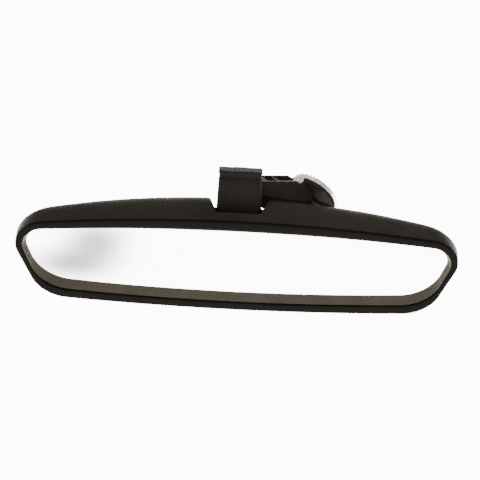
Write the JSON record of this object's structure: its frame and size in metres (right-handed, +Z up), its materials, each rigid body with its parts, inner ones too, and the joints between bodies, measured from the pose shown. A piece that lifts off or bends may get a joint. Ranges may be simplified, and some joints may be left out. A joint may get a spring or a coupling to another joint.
{
  "type": "interior rearview mirror",
  "caption": "Interior rearview mirror: a wide domed head on a ball joint under a short neck, with an arm and foot for a windscreen button.",
  "frame": {"origin": "centre of the foot's windscreen face, at the mouth of the button socket", "axes": "+X along the width of the head, to the right seen from the glass side; -Y is the side the glass faces; +Z up"},
  "size_m": [0.2498, 0.0548, 0.0847],
  "materials": {
    "cast_black": "satin",
    "pin_steel": "satin",
    "ring_steel": "bright",
    "foot_plastic": "matte",
    "spring_steel": "satin",
    "key_plastic": "satin",
    "screw_steel": "bright",
    "cover_plastic": "fine grain",
    "collar_plastic": "matte",
    "cup_nylon": "satin",
    "socket_plastic": "matte",
    "carrier_plastic": "matte",
    "pad_foam": "foam",
    "mirror": "polished",
    "seal_rubber": "matte",
    "lip_plastic": "satin",
    "bezel_plastic": "satin",
    "housing_plastic": "fine grain",
    "shroud_plastic": "matte"
  },
  "bodies": {
    "mount": {"mount_bracket": "cast_black", "ball_stem": "pin_steel", "stem_retainer": "pin_steel", "foot_ring": "ring_steel", "foot_plate": "foot_plastic", "foot_spring": "spring_steel", "locking_insert": "key_plastic", "foot_screws": "screw_steel"},
    "neck": {"neck_cover": "cover_plastic", "swivel_collar": "collar_plastic", "cover_screws": "screw_steel", "thrust_washer": "cup_nylon", "wave_washer": "spring_steel"},
    "cup": {"ball_cup": "cup_nylon"},
    "head": {"socket_block": "socket_plastic", "socket_clamp": "socket_plastic", "clamp_screws": "screw_steel", "socket_screws": "screw_steel", "glass_carrier": "carrier_plastic", "adhesive_pad": "pad_foam", "mirror_glass": "mirror", "glass_gasket": "seal_rubber", "inner_lip_ring": "lip_plastic", "front_bezel": "bezel_plastic", "rear_housing": "housing_plastic", "notch_shroud": "shroud_plastic"}
  },
  "joints": [
    {"name": "neck_swivel", "type": "hinge", "parent": "mount", "child": "neck", "pos_m": [-0.04318, -0.02848, -0.01113], "axis": [0, 0.342, 0.9397], "range_deg": [-105, 0]},
    {"name": "head_pitch", "type": "hinge", "parent": "neck", "child": "cup", "pos_m": [-0.04318, -0.02848, -0.01113], "axis": [1, 0, 0], "range_deg": [-3, 12]},
    {"name": "head_roll", "type": "hinge", "parent": "cup", "child": "head", "pos_m": [-0.04318, -0.02848, -0.01113], "axis": [0, 1, 0], "range_deg": [-1.5, 1.5]}
  ]
}
